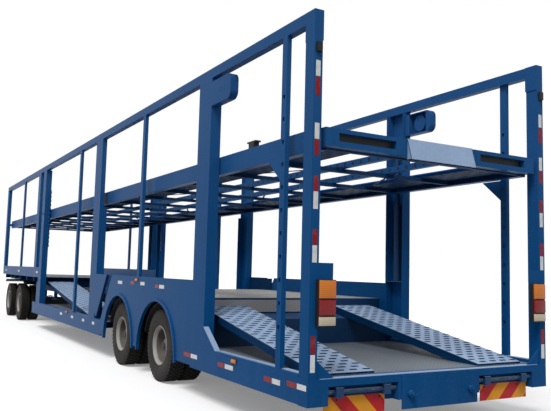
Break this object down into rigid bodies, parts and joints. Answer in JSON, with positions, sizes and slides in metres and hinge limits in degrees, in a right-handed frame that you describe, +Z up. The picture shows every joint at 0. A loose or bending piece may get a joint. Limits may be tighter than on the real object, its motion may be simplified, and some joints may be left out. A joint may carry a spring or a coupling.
{
  "type": "two-deck car carrier trailer with turntable dolly",
  "caption": "Skeleton two-deck car carrier trailer with posts and rails, a hinged upper deck, perforated ramps, a low well and a turntable dolly with towing eye.",
  "frame": {"origin": "centre of the bounding box on the ground", "axes": "+X forward towards the drawbar, +Y to the left side, +Z up"},
  "size_m": [20.17, 3.19, 4],
  "materials": {
    "blue_paint": "gloss",
    "deck_plate": "satin",
    "dark_steel": "satin",
    "marker_board": "satin",
    "lamp_lens": "gloss",
    "tyre_rubber": "matte",
    "rim_paint": "satin"
  },
  "bodies": {
    "trailer": {"frame_rails": "blue_paint", "cross_members": "blue_paint", "rear_beam": "blue_paint", "bogie_panels": "blue_paint", "gusset_plates": "blue_paint", "corner_posts": "blue_paint", "slim_posts": "blue_paint", "slotted_posts": "blue_paint", "wide_posts": "blue_paint", "main_posts": "blue_paint", "top_rails": "blue_paint", "sheave_housings": "blue_paint", "rack_bars": "blue_paint", "front_beams": "blue_paint", "front_cross_members": "blue_paint", "lamp_brackets": "blue_paint", "rear_springs": "blue_paint", "landing_legs": "blue_paint", "turntable_upper": "blue_paint", "bogie_deck": "deck_plate", "floor_plates": "deck_plate", "rear_ramps": "deck_plate", "well_ramps": "deck_plate", "front_tracks": "deck_plate", "ramp_hinge_rods": "dark_steel", "lift_cylinders": "dark_steel", "deck_pins": "dark_steel", "sheaves": "dark_steel", "rear_axles": "dark_steel", "marker_boards": "marker_board", "lamps": "lamp_lens"},
    "bed": {"bed_beams": "blue_paint", "bed_tracks": "deck_plate", "bed_cross_members": "blue_paint", "bed_end_beam": "blue_paint", "bed_ears": "dark_steel"},
    "dolly": {"dolly_frame": "blue_paint", "turntable_lower": "blue_paint", "dolly_axles": "dark_steel", "dolly_springs": "blue_paint", "dolly_mudguards": "dark_steel", "drawbar_legs": "blue_paint", "towing_eye": "blue_paint"},
    "rear_one_left_wheel": {"rear_one_left_tyres": "tyre_rubber", "rear_one_left_hub": "rim_paint"},
    "rear_one_right_wheel": {"rear_one_right_tyres": "tyre_rubber", "rear_one_right_hub": "rim_paint"},
    "rear_two_left_wheel": {"rear_two_left_tyres": "tyre_rubber", "rear_two_left_hub": "rim_paint"},
    "rear_two_right_wheel": {"rear_two_right_tyres": "tyre_rubber", "rear_two_right_hub": "rim_paint"},
    "dolly_one_left_wheel": {"dolly_one_left_tyres": "tyre_rubber", "dolly_one_left_hub": "rim_paint"},
    "dolly_one_right_wheel": {"dolly_one_right_tyres": "tyre_rubber", "dolly_one_right_hub": "rim_paint"},
    "dolly_two_left_wheel": {"dolly_two_left_tyres": "tyre_rubber", "dolly_two_left_hub": "rim_paint"},
    "dolly_two_right_wheel": {"dolly_two_right_tyres": "tyre_rubber", "dolly_two_right_hub": "rim_paint"}
  },
  "joints": [
    {"name": "bed_hinge", "type": "hinge", "parent": "trailer", "child": "bed", "pos_m": [2.11062, 0, 2.8075], "axis": [0, 1, 0], "range_deg": [-8, 3]},
    {"name": "dolly_turntable", "type": "hinge", "parent": "trailer", "child": "dolly", "pos_m": [6.08615, 0, 1.107], "axis": [0, 0, 1], "range_deg": [-75, 75]},
    {"name": "rear_one_left_spin", "type": "hinge", "parent": "trailer", "child": "rear_one_left_wheel", "pos_m": [-6.12466, 1.265, 0.49], "axis": [0, 1, 0], "continuous": true},
    {"name": "rear_one_right_spin", "type": "hinge", "parent": "trailer", "child": "rear_one_right_wheel", "pos_m": [-6.12466, -1.265, 0.49], "axis": [0, 1, 0], "continuous": true},
    {"name": "rear_two_left_spin", "type": "hinge", "parent": "trailer", "child": "rear_two_left_wheel", "pos_m": [-4.38466, 1.265, 0.49], "axis": [0, 1, 0], "continuous": true},
    {"name": "rear_two_right_spin", "type": "hinge", "parent": "trailer", "child": "rear_two_right_wheel", "pos_m": [-4.38466, -1.265, 0.49], "axis": [0, 1, 0], "continuous": true},
    {"name": "dolly_one_left_spin", "type": "hinge", "parent": "dolly", "child": "dolly_one_left_wheel", "pos_m": [5.18615, 1.265, 0.49], "axis": [0, 1, 0], "continuous": true},
    {"name": "dolly_one_right_spin", "type": "hinge", "parent": "dolly", "child": "dolly_one_right_wheel", "pos_m": [5.18615, -1.265, 0.49], "axis": [0, 1, 0], "continuous": true},
    {"name": "dolly_two_left_spin", "type": "hinge", "parent": "dolly", "child": "dolly_two_left_wheel", "pos_m": [6.98615, 1.265, 0.49], "axis": [0, 1, 0], "continuous": true},
    {"name": "dolly_two_right_spin", "type": "hinge", "parent": "dolly", "child": "dolly_two_right_wheel", "pos_m": [6.98615, -1.265, 0.49], "axis": [0, 1, 0], "continuous": true}
  ]
}
